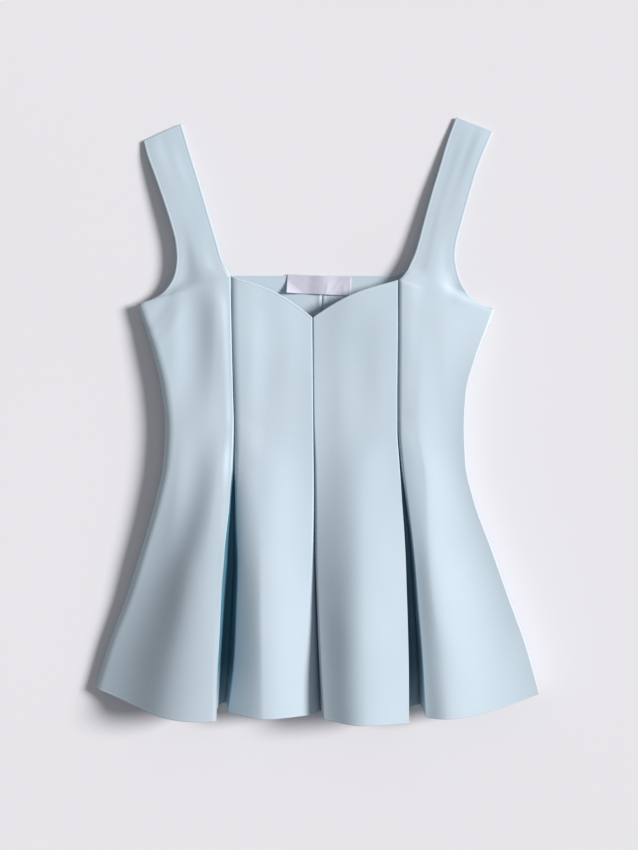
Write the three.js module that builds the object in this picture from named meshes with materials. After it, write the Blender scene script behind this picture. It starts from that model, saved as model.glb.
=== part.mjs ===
import * as THREE from "three";

// A sleeveless peplum top in thick bonded crepe, laid flat on its back.
// Millimetres. X runs across the top, Y from the hem up to the straps, and Z up from the
// surface it lies on, with the origin under the middle of the whole garment.

// Driving dimensions
const clothThickness = 1.2;
const seamGap = 0.3;
const bodyRows = 18;
const strapRows = 12;
const wideSteps = 6;
const narrowSteps = 4;
const edgeSteps = 6;
const fullFold = 4;
const labelWidth = 68;
const labelHeight = 20;
const labelThickness = 1;
const labelTurn = -2.6;
const clothColour = 0xbfd6e6;
const labelColour = 0xd9d7e4;

// A table turns rows of figures into rows with named columns.
function table(columns, ...rows) {
  const names = columns.split(" ");
  return rows.map((row) => Object.fromEntries(row.map((value, i) => [names[i], value])));
}

// Smooth reading of a table at any height y, with no overshoot between its rows.
function read(rows, y) {
  const last = rows.length - 1;
  const held = THREE.MathUtils.clamp(y, rows[0].y, rows[last].y);
  let i = 0;
  while (i < last - 1 && held > rows[i + 1].y) i += 1;
  const span = rows[i + 1].y - rows[i].y;
  const t = (held - rows[i].y) / span;
  const values = {};
  for (const name of Object.keys(rows[0])) {
    const slope = (k) => (rows[k + 1][name] - rows[k][name]) / (rows[k + 1].y - rows[k].y);
    const tangent = (k) => {
      if (k === 0) return slope(0);
      if (k === last) return slope(last - 1);
      const before = slope(k - 1);
      const after = slope(k);
      return before * after <= 0 ? 0 : (2 * before * after) / (before + after);
    };
    const start = rows[i][name];
    const end = rows[i + 1][name];
    const leave = tangent(i) * span;
    const arrive = tangent(i + 1) * span;
    values[name] =
      start * (1 + 2 * t) * (1 - t) ** 2 +
      leave * t * (1 - t) ** 2 +
      end * t * t * (3 - 2 * t) +
      arrive * t * t * (t - 1);
  }
  return values;
}

// Seam lines of the front. z is the bottom of the seam's groove or fold.
const leftSideSeam = table(
  "y x z",
  [-286.8, -233.1, 7],
  [-240.3, -218.8, 7.5],
  [-189.8, -199.8, 8.5],
  [-139.3, -183.9, 10],
  [-88.8, -169.2, 11.6],
  [-51, -161.2, 12.5],
  [-13.2, -159, 12.5],
  [24.7, -162.6, 12],
  [62.6, -171.1, 11],
  [90, -179.5, 10],
  [117.1, -188.4, 9],
);
const rightSideSeam = table(
  "y x z",
  [-286.8, 233.1, 12],
  [-240.3, 219.8, 12.5],
  [-189.8, 201.3, 13],
  [-139.3, 183.3, 13],
  [-88.8, 165, 12.6],
  [-51, 156.6, 12.4],
  [-13.2, 155.1, 12.2],
  [24.7, 157.3, 12],
  [62.6, 167.8, 11.4],
  [90, 179, 10.2],
  [112, 188, 9],
);
const leftPrincessSeam = table(
  "y x z",
  [-303.8, -96.6, 3],
  [-248.4, -91.2, 4],
  [-194.9, -88.3, 7],
  [-141.6, -86, 11.5],
  [-88.7, -86, 16],
  [-46.6, -86.2, 19],
  [-15.2, -86, 20],
  [26.6, -87, 20],
  [78.9, -88.6, 19],
  [145.4, -90, 15],
);
const rightPrincessSeam = table(
  "y x z",
  [-306, 109.8, 2.4],
  [-248.4, 107, 3.8],
  [-194.9, 103, 7],
  [-141.6, 99, 11.5],
  [-88.7, 92.9, 16],
  [-46.6, 87.4, 19],
  [-15.2, 84.9, 20],
  [26.6, 84.8, 20],
  [78.9, 85.2, 19],
  [141.8, 85.7, 14.5],
);
const centreFrontSeam = table(
  "y x z",
  [-308.3, 5, 17],
  [-268.5, 2.6, 17.5],
  [-205.7, 0.1, 18.5],
  [-142.8, -1.6, 19.5],
  [-59.1, -2.4, 20],
  [25.5, -3.5, 19.6],
  [102.2, -4.1, 15.5],
);

// Free edges of the front straps, from the underarm and the neck point to the shoulder seam.
const leftArmhole = table(
  "y x z",
  [117.1, -188.4, 9],
  [122.1, -174.1, 10],
  [129.3, -162.1, 11],
  [139.5, -153.1, 11.6],
  [151.1, -148.4, 12],
  [165.1, -146.7, 12],
  [180.8, -147.8, 11.8],
  [198.7, -152.1, 11.3],
  [227.3, -161.2, 10],
  [255.2, -171.1, 8],
  [276.6, -179, 5.4],
  [291.4, -183, 2.7],
);
const leftStrapInside = table(
  "y x z",
  [145.4, -90, 15],
  [151.8, -93.2, 14.6],
  [163.9, -99.9, 13.8],
  [180.7, -104.8, 13],
  [208.6, -113.2, 11.6],
  [244.5, -123.8, 9.5],
  [279.5, -134.7, 6],
  [309.2, -143.6, 2.7],
);
const rightArmhole = table(
  "y x z",
  [112, 188, 9],
  [114.2, 180.5, 9.4],
  [119.1, 170, 10],
  [127.8, 159.5, 10.6],
  [139.4, 152, 11],
  [155.6, 147.1, 11],
  [168.2, 145.5, 10.6],
  [182.9, 147.3, 10],
  [202.9, 152.6, 9.2],
  [232.6, 161, 8],
  [262.7, 170.2, 6.6],
  [285.6, 179.5, 4.8],
  [301.5, 186.5, 2.7],
);
const rightStrapInside = table(
  "y x z",
  [141.8, 85.7, 14.5],
  [150.8, 93.6, 13.6],
  [159.7, 99, 12.6],
  [173.1, 104.8, 11.4],
  [202.8, 113, 9.4],
  [232.5, 121.2, 8],
  [262.8, 130.4, 6.2],
  [293.2, 139.6, 4],
  [316.3, 148.2, 2.7],
);

// How a panel turns down into a seam. round is how far in the turn begins, wall how high it
// stands over the seam, lean how far its top stands off the seam, tilt the slope it begins with,
// under how far its foot is drawn back under it, and reach how far the slope before it carries on.
const seamTurn = { round: 3, wall: 2.6, lean: 0, tilt: 0.06, under: 0, reach: 0.47 };
const freeEdge = { round: 6, wall: 0, lean: 0, tilt: 0.03, under: 0, reach: 0.47 };
const leftSideTurn = table(
  "y round wall lean tilt under reach",
  [-286.8, 8, 3.4, 0, 0.34, 0, 0.5],
  [-240.3, 8, 4.2, 0, 0.32, 0, 0.5],
  [-190, 9, 5.5, 0, 0.28, 0, 0.56],
  [-139, 9, 7, 0, 0.22, 0, 0.6],
  [-60, 10, 7.5, 0, 0.15, 0, 0.55],
  [-13, 11, 8, 0, 0.08, 0, 0.6],
  [50, 10, 7.5, 0, 0.03, 0, 0.75],
  [117.1, 8, 4, 0, 0.05, 0, 0.6],
);
const rightSideTurn = table(
  "y round wall lean tilt under reach",
  [-286.8, 3, 12, 0, 0, 0, 0.45],
  [-240, 3, 11.5, 0, -0.02, 0, 0.45],
  [-190, 3, 10.5, 0, -0.05, 0, 0.45],
  [-139, 3, 8.6, 0, -0.06, 0, 0.45],
  [-60, 3, 7.6, 0, -0.06, 0, 0.45],
  [-13, 3, 7.2, 0, -0.03, 0, 0.45],
  [50, 3, 6.4, 0, 0, 0, 0.4],
  [112, 3, 2, 0, 0.12, 0, 0.4],
);
const turnInto = (from, to, yFrom, yTo) => [
  { y: yFrom, ...from },
  { y: yTo, ...to },
];
const leftFoldOutside = table(
  "y round wall lean tilt under reach",
  [-303.8, 3, 50.5, 4, 0.03, 9, 0.47],
  [-248, 3, 48, 8.5, 0.03, 9, 0.47],
  [-195, 3, 41, 9, 0.03, 8, 0.47],
  [-142, 3, 30.5, 8, 0.03, 6, 0.47],
  [-89, 3, 17.6, 3.2, 0.03, 4, 0.47],
  [-40, 3, 6, 1, 0.03, 1.5, 0.47],
  [0, 3, 2.6, 0, 0.04, 0, 0.47],
);
const leftFoldInside = table(
  "y round wall lean tilt under reach",
  [-303.8, 3, 18.5, 3.4, 0.6, 2, 0.26],
  [-248, 3, 18.5, 4.2, 0.6, 2, 0.26],
  [-195, 3, 15.6, 3.8, 0.62, 2, 0.26],
  [-142, 3, 11.4, 2.5, 0.66, 2, 0.28],
  [-89, 3, 6.4, 1, 0.58, 1, 0.35],
  [-40, 6, 3.8, 0.2, 0.2, 0, 0.4],
  [0, 8, 2.8, 0, 0.05, 0, 0.47],
);
const rightFoldInside = table(
  "y round wall lean tilt under reach",
  [-306, 3, 43.5, 14, 0.16, 6, 0.4],
  [-248, 3, 40.5, 11.5, 0.16, 6, 0.4],
  [-195, 3, 32.5, 8.6, 0.16, 5, 0.4],
  [-142, 3, 23, 6.2, 0.14, 4, 0.4],
  [-89, 3, 13, 3.2, 0.1, 3, 0.4],
  [-40, 3, 5, 0.5, 0.06, 1, 0.4],
  [0, 3, 2.4, 0, 0.04, 0, 0.47],
);
const rightFoldOutside = table(
  "y round wall lean tilt under reach",
  [-306, 3, 28, 2.2, 0.26, 2, 0.3],
  [-248, 3, 27, 1.6, 0.26, 2, 0.3],
  [-195, 3, 22, 1.4, 0.28, 2, 0.3],
  [-142, 3, 15.5, 1, 0.28, 2, 0.3],
  [-89, 3, 9.4, 0.6, 0.26, 1, 0.3],
  [-40, 3.5, 4.6, 0.1, 0.15, 0, 0.4],
  [0, 5, 3, 0, 0.06, 0, 0.47],
);
const centreFoldLeft = table(
  "y round wall lean tilt under reach",
  [-308, 14, 7.5, 0, 0.24, 0, 0.45],
  [-248, 12, 7.5, 0, 0.22, 0, 0.45],
  [-195, 8, 6.5, 0, 0.18, 0, 0.5],
  [-142, 4, 5.2, 0, 0.1, 0, 0.5],
  [-60, 3, 2.2, 0, 0.03, 0, 0.47],
  [-10, 3, 1.6, 0, 0, 0, 0.47],
);
const centreFoldRight = table(
  "y round wall lean tilt under reach",
  [-308, 3, 22, 1, 0.34, 1, 0.42],
  [-268, 3, 19.5, 1, 0.34, 1, 0.42],
  [-205, 3, 12.5, 0.5, 0.34, 1, 0.42],
  [-142, 3, 7, 0, 0.3, 0, 0.4],
  [-60, 3, 2.4, 0, 0.08, 0, 0.47],
  [-10, 3, 1.4, 0, 0, 0, 0.47],
);

// The ridge of each panel, with how far the hem dips where the cloth stands up. left and right
// say how far the crest stays level towards each seam.
const leftSideRidge = table(
  "y x z dip bow left right",
  [-295, -107, 54, 0.15, -7, 0.56, 0.47],
  [-240, -106, 52.2, 0.1, -4, 0.56, 0.47],
  [-180, -104, 46.8, 0.08, -1, 0.54, 0.47],
  [-120, -101, 38.8, 0.03, 0, 0.45, 0.47],
  [-60, -99, 29, 0, 0, 0.4, 0.47],
  [-13, -96, 23.9, 0, 0, 0.3, 0.47],
  [50, -98, 23, 0, 0, 0.12, 0.47],
  [100, -102, 21.4, 0, 0, 0.15, 0.47],
  [131, -112, 18, 0, 0, 0.3, 0.47],
  [172, -124, 14, 0, 0, 0.47, 0.47],
  [205, -131, 11.9, 0, 0, 0.47, 0.47],
  [250, -146, 9.3, 0, 0, 0.47, 0.47],
  [300, -163, 3.1, 0, 0, 0.47, 0.47],
);
const rightSideRidge = table(
  "y x z dip bow left right",
  [-296, 136, 36.4, 0.26, -7, 0.4, 0.2],
  [-240, 131, 36, 0.18, -4, 0.4, 0.2],
  [-180, 121, 33.4, 0.1, -1, 0.3, 0.2],
  [-120, 115, 29.6, 0.04, 0, 0.3, 0.15],
  [-60, 112, 26.4, 0, 0, 0.3, 0.15],
  [-13, 104, 24.1, 0, 0, 0.4, 0.2],
  [50, 106, 22.9, 0, 0, 0.47, 0.3],
  [100, 110, 20.2, 0, 0, 0.47, 0.4],
  [127, 118, 16.3, 0, 0, 0.47, 0.47],
  [168, 124, 12.2, 0, 0, 0.47, 0.47],
  [212, 133, 9.4, 0, 0, 0.47, 0.47],
  [260, 149, 6.9, 0, 0, 0.47, 0.47],
  [309, 167, 2.9, 0, 0, 0.47, 0.47],
);
const leftCentreRidge = table(
  "y x z dip bow left right",
  [-306, -55, 36, 0.3, 0, 0.2, 0.3],
  [-240, -56, 35.6, 0.2, 0, 0.2, 0.3],
  [-180, -57, 33.6, 0.1, 0, 0.22, 0.3],
  [-120, -57, 30.6, 0.04, 0, 0.28, 0.3],
  [-60, -56, 26.6, 0, 0, 0.3, 0.4],
  [-13, -50, 22.9, 0, 0, 0.47, 0.47],
  [50, -46, 21.9, 0, 1.5, 0.47, 0.47],
  [124, -47, 18, 0, 6.9, 0.47, 0.47],
);
const rightCentreRidge = table(
  "y x z dip bow left right",
  [-307, 48, 53, 0.22, 0, 0.4, 0.2],
  [-240, 47, 50.5, 0.17, 0, 0.4, 0.2],
  [-180, 46, 44, 0.1, 0, 0.35, 0.2],
  [-120, 45, 36.5, 0.04, 0, 0.3, 0.2],
  [-60, 43, 28.6, 0, 0, 0.35, 0.3],
  [-13, 40, 23.6, 0, 0, 0.47, 0.47],
  [50, 40, 22, 0, 1.5, 0.47, 0.47],
  [122, 41, 18.6, 0, 6, 0.47, 0.47],
);

// Heights paired across each strap, so its sections lie square to it.
const leftStrapPairs = table(
  "y outside inside",
  [0, 117.1, 145.4],
  [0.15, 122.5, 149],
  [0.35, 139.5, 157],
  [0.5, 165, 174],
  [0.66, 205, 212],
  [0.84, 250, 262],
  [1, 291.4, 309.2],
);
const rightStrapPairs = table(
  "y outside inside",
  [0, 112, 141.8],
  [0.15, 117, 147],
  [0.35, 136, 157],
  [0.5, 163, 177],
  [0.66, 210, 220],
  [0.84, 257, 270],
  [1, 301.5, 316.3],
);

// Lines of the back: its centre seam, the line that a strap's inner edge rises from, and its edges.
const centreBackSeam = table("y x", [-303, 2, 0], [-20, 3, 0], [148, 6.5, 0]);
const leftBackGuide = table(
  "y x",
  [-299, -98],
  [-20, -86],
  [148, -89],
  [150.5, -98],
  [158, -106],
  [175, -110.5],
  [208.6, -117.5],
  [244.5, -128],
  [279.5, -139],
  [308, -147.5],
);
const rightBackGuide = table(
  "y x",
  [-299, 108],
  [-20, 84],
  [148, 82],
  [152.4, 95.6],
  [160, 104],
  [175, 109.5],
  [203, 117],
  [232.5, 125.4],
  [262.8, 134.5],
  [293.2, 144],
  [314, 152],
);
const leftBackArmhole = table(
  "y x z",
  [117.1, -188.4, 9],
  [122.1, -173.6, 6],
  [129.3, -161.4, 3.6],
  [139.5, -152.4, 1.6],
  [151.1, -147.6, 0.4],
  [165.1, -146, 0],
  [198.7, -151.4, 0],
  [255.2, -170.2, 0],
  [291, -182.6, 0],
);
const rightBackArmhole = table(
  "y x z",
  [112, 188, 9],
  [119.1, 169.4, 5.4],
  [127.8, 158.9, 3],
  [139.4, 151.4, 1.2],
  [155.6, 146.6, 0.2],
  [168.2, 145, 0],
  [202.9, 152, 0],
  [262.7, 169.4, 0],
  [301, 186, 0],
);
const backSideTurn = { round: 6, wall: -3, lean: 0, tilt: -0.12, under: 0, reach: 0.47 };
const backFreeEdge = { round: 6, wall: 0, lean: 0, tilt: 0, under: 0, reach: 0.47 };
const backRise = 52;

const point = (x, z) => new THREE.Vector2(x, z);

// Half a section, from the crest of the cloth out to a seam: a sweep to the start of the turn,
// then the turn down its wall to the seam.
function halfSection(crest, seam, turn, steps) {
  const way = Math.sign(crest.x - seam.x);
  const corner = point(seam.x + way * turn.lean, seam.z + turn.wall);
  const start = point(corner.x + way * turn.round, corner.y + turn.tilt * turn.round);
  const level = crest[way > 0 ? "left" : "right"] * (start.x - crest.x);
  const reach = turn.reach * (start.x - crest.x);
  const sweep = new THREE.CubicBezierCurve(
    point(crest.x, crest.z),
    point(crest.x + level, crest.z),
    point(start.x - reach, start.y - turn.tilt * way * reach),
    start,
  );
  const foot = point(seam.x, seam.z);
  const folded = THREE.MathUtils.clamp(turn.under / fullFold, 0, 1);
  const drawnUnder = point(corner.x + way * turn.under, foot.y);
  const turning = new THREE.CubicBezierCurve(
    start,
    start.clone().lerp(corner, 0.6 + 0.3 * folded),
    foot.clone().lerp(corner, 0.6).lerp(drawnUnder, folded),
    foot,
  );
  return [...sweep.getPoints(steps), ...turning.getPoints(edgeSteps).slice(1)];
}

// A whole section between two seams. The cloth dips towards the hem where it stands up, and bows
// up between the seams along a neckline.
function section(left, right, crest, leftTurn, rightTurn, leftSteps, rightSteps, bowFrom) {
  const flat = [
    ...halfSection(crest, left, leftTurn, leftSteps).reverse(),
    ...halfSection(crest, right, rightTurn, rightSteps).slice(1),
  ];
  return flat.map((p) => {
    const across = (p.x - left.x) / (right.x - left.x);
    const chord = THREE.MathUtils.lerp(left.z, right.z, across);
    const fromSeam = THREE.MathUtils.clamp(bowFrom === "right" ? 1 - across : across, 0, 1);
    const bow = (crest.bow ?? 0) * Math.sin(Math.PI * fromSeam ** 1.15);
    const y = THREE.MathUtils.lerp(left.y, right.y, across) - (crest.dip ?? 0) * (p.y - chord) + bow;
    return new THREE.Vector3(p.x, y, p.y);
  });
}

// The direction of a section at one of its points. At an end it follows the curve of the last
// three points, so the cloth meets its seam squarely.
function crossing(row, c) {
  const before = row[c - 1];
  const after = row[c + 1];
  if (before && after) return after.clone().sub(before);
  const step = before ? -1 : 1;
  const end = row[c].clone().multiplyScalar(-3);
  const slope = end.addScaledVector(row[c + step], 4).sub(row[c + 2 * step]);
  return slope.multiplyScalar(step);
}

// A closed sheet of cloth from a grid of points on its outer face. Cells that has() leaves out
// stay open, and each free edge gets a rim.
function sheet(name, rows, thickness, has = () => true) {
  const height = rows.length;
  const width = rows[0].length;
  const held = (r, c) => rows[THREE.MathUtils.clamp(r, 0, height - 1)][THREE.MathUtils.clamp(c, 0, width - 1)];
  const inner = rows.map((row, r) =>
    row.map((p, c) => {
      const low = r > 0 && rows[r - 1][c] ? r - 1 : r;
      const high = r < height - 1 && rows[r + 1][c] ? r + 1 : r;
      if (!p) return null;
      const along = held(high, c).clone().sub(held(low, c));
      const across = crossing(row, c);
      const normal = across.cross(along).normalize();
      return p.clone().addScaledVector(normal, -thickness);
    }),
  );
  const positions = [];
  const quad = (a, b, c, d) => {
    for (const p of [a, b, c, a, c, d]) positions.push(p.x, p.y, p.z);
  };
  const cell = (r, c) => r >= 0 && c >= 0 && r < height - 1 && c < width - 1 && has(r, c);
  for (let r = 0; r < height - 1; r += 1) {
    for (let c = 0; c < width - 1; c += 1) {
      if (!cell(r, c)) continue;
      const corners = [[r, c], [r, c + 1], [r + 1, c + 1], [r + 1, c]];
      const neighbours = [cell(r - 1, c), cell(r, c + 1), cell(r + 1, c), cell(r, c - 1)];
      const out = corners.map(([i, j]) => rows[i][j]);
      const back = corners.map(([i, j]) => inner[i][j]);
      quad(...out);
      quad(...back.toReversed());
      neighbours.forEach((closed, k) => {
        const next = (k + 1) % 4;
        if (!closed) quad(out[next], out[k], back[k], back[next]);
      });
    }
  }
  const geometry = new THREE.BufferGeometry();
  geometry.setAttribute("position", new THREE.Float32BufferAttribute(positions, 3));
  geometry.computeVertexNormals();
  const material = new THREE.MeshStandardMaterial({ color: clothColour, roughness: 0.8, metalness: 0 });
  const mesh = new THREE.Mesh(geometry, material);
  mesh.name = name;
  return mesh;
}

const shifted = (row, dx, dz = 0) => ({ ...row, x: row.x + dx, z: row.z + dz });
const evenly = (count, make) => Array.from({ length: count + 1 }, (_, i) => make(i / count));

// A panel between two seams, from the hem up to its top edge.
function frontPanel({ left, right, crest, leftTurn, rightTurn, leftSteps, rightSteps, bowFrom, gapZ }) {
  const half = seamGap / 2;
  return evenly(bodyRows, (up) => {
    const leftY = THREE.MathUtils.lerp(left[0].y, left.at(-1).y, up);
    const rightY = THREE.MathUtils.lerp(right[0].y, right.at(-1).y, up);
    const middle = (leftY + rightY) / 2;
    return section(
      shifted(read(left, leftY), gapZ === "left" ? 0 : half, gapZ === "left" ? half : 0),
      shifted(read(right, rightY), gapZ === "right" ? 0 : -half, gapZ === "right" ? half : 0),
      read(crest, middle),
      Array.isArray(leftTurn) ? read(leftTurn, leftY) : leftTurn,
      Array.isArray(rightTurn) ? read(rightTurn, rightY) : rightTurn,
      leftSteps,
      rightSteps,
      bowFrom,
    );
  });
}

// The strap that continues a side panel: outside is the armhole edge, inside the neck edge.
function frontStrap({ outside, inside, pairs, crest, sideTurn, side, leftSteps, rightSteps }) {
  const { y, ...lastTurn } = sideTurn.at(-1);
  const outsideTurn = turnInto(lastTurn, freeEdge, outside[0].y, outside[0].y + 16);
  const insideTurn = turnInto(seamTurn, freeEdge, inside[0].y, inside[0].y + 16);
  return evenly(strapRows, (up) => {
    const pair = read(pairs, up);
    const outer = read(outside, pair.outside);
    const inner = read(inside, pair.inside);
    const middle = (pair.outside + pair.inside) / 2;
    const outerTurn = read(outsideTurn, pair.outside);
    const innerTurn = read(insideTurn, pair.inside);
    const half = seamGap / 2;
    const onLeft = side === "left";
    return section(
      onLeft ? shifted(outer, 0, half) : shifted(inner, half),
      onLeft ? shifted(inner, -half) : shifted(outer, 0, half),
      read(crest, middle),
      onLeft ? outerTurn : innerTurn,
      onLeft ? innerTurn : outerTurn,
      leftSteps,
      rightSteps,
    );
  }).slice(1);
}

// Front panels
const sideFrontLeft = sheet(
  "side_front_left",
  [
    ...frontPanel({
      left: leftSideSeam,
      right: leftPrincessSeam,
      crest: leftSideRidge,
      leftTurn: leftSideTurn,
      rightTurn: leftFoldOutside,
      leftSteps: wideSteps,
      rightSteps: narrowSteps,
      gapZ: "left",
    }),
    ...frontStrap({
      outside: leftArmhole,
      inside: leftStrapInside,
      pairs: leftStrapPairs,
      crest: leftSideRidge,
      sideTurn: leftSideTurn,
      side: "left",
      leftSteps: wideSteps,
      rightSteps: narrowSteps,
    }),
  ],
  clothThickness,
);

const sideFrontRight = sheet(
  "side_front_right",
  [
    ...frontPanel({
      left: rightPrincessSeam,
      right: rightSideSeam,
      crest: rightSideRidge,
      leftTurn: rightFoldOutside,
      rightTurn: rightSideTurn,
      leftSteps: narrowSteps,
      rightSteps: wideSteps,
      gapZ: "right",
    }),
    ...frontStrap({
      outside: rightArmhole,
      inside: rightStrapInside,
      pairs: rightStrapPairs,
      crest: rightSideRidge,
      sideTurn: rightSideTurn,
      side: "right",
      leftSteps: narrowSteps,
      rightSteps: wideSteps,
    }),
  ],
  clothThickness,
);

const centreFrontLeft = sheet(
  "centre_front_left",
  frontPanel({
    left: leftPrincessSeam,
    right: centreFrontSeam,
    crest: leftCentreRidge,
    leftTurn: leftFoldInside,
    rightTurn: centreFoldLeft,
    leftSteps: narrowSteps,
    rightSteps: narrowSteps,
    bowFrom: "left",
  }),
  clothThickness,
);

const centreFrontRight = sheet(
  "centre_front_right",
  frontPanel({
    left: centreFrontSeam,
    right: rightPrincessSeam,
    crest: rightCentreRidge,
    leftTurn: centreFoldRight,
    rightTurn: rightFoldInside,
    leftSteps: narrowSteps,
    rightSteps: narrowSteps,
    bowFrom: "right",
  }),
  clothThickness,
);

// Each half of the back lies flat on the surface and curves up to its side seam. Its outer face
// is underneath. The columns from the guide line out carry on up the strap.
function backPanel(name, { guide, sideSeam, armhole, pairs, way }) {
  const half = seamGap / 2;
  const flatSteps = 3;
  const acrossSteps = 2;
  const rise = backRise * way;
  const outwards = (seam, guidePoint, turn) => {
    const start = Math.abs(seam.x - guidePoint.x) > backRise + 12 ? seam.x - rise : guidePoint.x * 0.4 + seam.x * 0.6;
    const crest = { x: start, z: 0, left: 0.47, right: 0.47 };
    const points = halfSection(crest, seam, turn, narrowSteps);
    const lead = evenly(acrossSteps, (t) => point(THREE.MathUtils.lerp(guidePoint.x, crest.x, t), 0));
    return [...lead, ...points.slice(1)].map((p) => {
      const across = (p.x - guidePoint.x) / (seam.x - guidePoint.x);
      return new THREE.Vector3(p.x, THREE.MathUtils.lerp(guidePoint.y, seam.y, across), p.y);
    });
  };
  const body = evenly(bodyRows, (up) => {
    const centreY = THREE.MathUtils.lerp(centreBackSeam[0].y, centreBackSeam.at(-1).y, up);
    const guideY = THREE.MathUtils.lerp(guide[0].y, 148, up);
    const sideY = THREE.MathUtils.lerp(sideSeam[0].y, sideSeam.at(-1).y, up);
    const centre = { x: read(centreBackSeam, centreY).x + way * half, y: centreY };
    const guidePoint = { x: read(guide, guideY).x, y: guideY };
    const seam = shifted(read(sideSeam, sideY), 0, -half);
    const inside = evenly(flatSteps, (t) => {
      const x = THREE.MathUtils.lerp(centre.x, guidePoint.x, t);
      return new THREE.Vector3(x, THREE.MathUtils.lerp(centre.y, guidePoint.y, t), 0);
    });
    return [...inside.slice(0, -1), ...outwards(seam, guidePoint, backSideTurn)];
  });
  const edgeTurn = turnInto(backSideTurn, backFreeEdge, armhole[0].y, armhole[0].y + 22);
  const strap = evenly(strapRows, (up) => {
    const pair = read(pairs, up);
    const outer = read(armhole, Math.min(pair.outside, armhole.at(-1).y));
    const drop = THREE.MathUtils.clamp((pair.outside - armhole[0].y) / 4, 0, 1);
    const seam = shifted(outer, 0, -half * (1 - drop));
    const guideY = THREE.MathUtils.lerp(148, guide.at(-1).y, (pair.inside - pairs[0].inside) / (pairs.at(-1).inside - pairs[0].inside));
    const guidePoint = { x: read(guide, guideY).x, y: guideY };
    return [null, null, null, ...outwards({ ...seam, z: Math.max(seam.z, 0) }, guidePoint, read(edgeTurn, pair.outside))];
  }).slice(1);
  const rows = [...body, ...strap].map((row) => (way < 0 ? row : row.toReversed()));
  const columns = rows[0].length - 1;
  const inStrap = (c) => (way < 0 ? c >= flatSteps : c < columns - flatSteps);
  return sheet(name, rows, clothThickness, (r, c) => r < bodyRows || inStrap(c));
}

const backLeft = backPanel("back_left", {
  guide: leftBackGuide,
  sideSeam: leftSideSeam,
  armhole: leftBackArmhole,
  pairs: leftStrapPairs,
  way: -1,
});

const backRight = backPanel("back_right", {
  guide: rightBackGuide,
  sideSeam: rightSideSeam,
  armhole: rightBackArmhole,
  pairs: rightStrapPairs,
  way: 1,
});

// The blank woven label lies on the inside of the back, along the neck edge.
const neckLabel = new THREE.Mesh(
  new THREE.BoxGeometry(labelWidth, labelHeight, labelThickness),
  new THREE.MeshStandardMaterial({ color: labelColour, roughness: 0.6, metalness: 0 }),
);
neckLabel.name = "neck_label";
neckLabel.rotation.z = THREE.MathUtils.degToRad(labelTurn);
neckLabel.position.set(2.4, 138.4, clothThickness + seamGap + labelThickness / 2);

const group = new THREE.Group();
group.add(sideFrontLeft, centreFrontLeft, centreFrontRight, sideFrontRight);
group.add(backLeft, backRight, neckLabel);

export default group;
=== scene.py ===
import math

import bpy
from mathutils import Matrix, Vector, kdtree, noise


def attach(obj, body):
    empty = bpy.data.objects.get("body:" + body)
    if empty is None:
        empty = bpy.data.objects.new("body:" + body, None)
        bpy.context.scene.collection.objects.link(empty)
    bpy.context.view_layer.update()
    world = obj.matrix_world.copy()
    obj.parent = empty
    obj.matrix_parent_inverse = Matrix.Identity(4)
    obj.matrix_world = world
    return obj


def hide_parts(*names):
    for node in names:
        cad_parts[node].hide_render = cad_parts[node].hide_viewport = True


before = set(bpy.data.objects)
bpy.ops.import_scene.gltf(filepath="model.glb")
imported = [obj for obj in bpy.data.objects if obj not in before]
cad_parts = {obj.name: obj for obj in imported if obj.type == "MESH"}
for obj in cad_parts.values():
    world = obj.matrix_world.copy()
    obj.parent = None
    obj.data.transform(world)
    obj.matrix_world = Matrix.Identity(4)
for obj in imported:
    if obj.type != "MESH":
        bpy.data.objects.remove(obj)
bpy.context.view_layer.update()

scene = bpy.context.scene

# The camera hangs over the laid-out top and looks straight down on it, hem towards the bottom.
# The view's half height is measured where the cloth lies, a little above the floor.
camera_place = (0.0026, -0.010, 1.3)
cloth_distance = 1.285
view_half_height = 0.44625

camera_data = bpy.data.cameras.new("camera")
camera_data.lens = camera_data.sensor_width / 2 * cloth_distance / view_half_height
camera = bpy.data.objects.new("camera", camera_data)
camera.location = camera_place
scene.collection.objects.link(camera)
scene.camera = camera

# The floor is wide pale card. One big soft lamp stands far off to the right, a little towards the
# straps, and the pale room fills the shadows.
floor_half_width = 4.0
floor_drop = 0.0003
floor_colour = (0.80, 0.787, 0.815, 1)
lamp_elevation = math.radians(31)
lamp_direction = math.radians(10)
lamp_spread = math.radians(17)
lamp_strength = 4.6
room_colour = (0.93, 0.96, 1.0, 1)
room_strength = 0.28


def set_inputs(tree, node, inputs):
    """Gives a node its inputs, each a plain value or another node's output."""
    for name, value in inputs.items():
        if isinstance(value, bpy.types.NodeSocket):
            tree.links.new(value, node.inputs[name])
        else:
            node.inputs[name].default_value = value


def add_node(tree, kind, inputs=None, **settings):
    """A new node in a tree, with its settings and its inputs."""
    made = tree.nodes.new(kind)
    for name, value in settings.items():
        setattr(made, name, value)
    set_inputs(tree, made, inputs or {})
    return made


def new_material(name):
    """A new material, its node tree and its shader."""
    material = bpy.data.materials.new(name)
    material.use_nodes = True
    tree = material.node_tree
    return material, tree, tree.nodes["Principled BSDF"]


def noise_between(tree, vector, scale, detail, low, high):
    """Noise of a given scale, stretched to run from low to high."""
    texture = add_node(tree, "ShaderNodeTexNoise", {
        "Vector": vector, "Scale": scale, "Detail": detail})
    spread = add_node(tree, "ShaderNodeMapRange", {
        "Value": texture.outputs["Fac"], "From Min": 0.3, "From Max": 0.7,
        "To Min": low, "To Max": high})
    return spread.outputs["Result"]


def mixed(tree, factor, first, second):
    """A colour between two others."""
    inputs = {"Factor": factor, 6: first, 7: second}
    return add_node(tree, "ShaderNodeMix", inputs, data_type="RGBA").outputs[2]


def toned(colour, factor):
    """A colour made darker or paler by a factor."""
    return tuple(factor * value for value in colour[:3]) + (1,)


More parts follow.
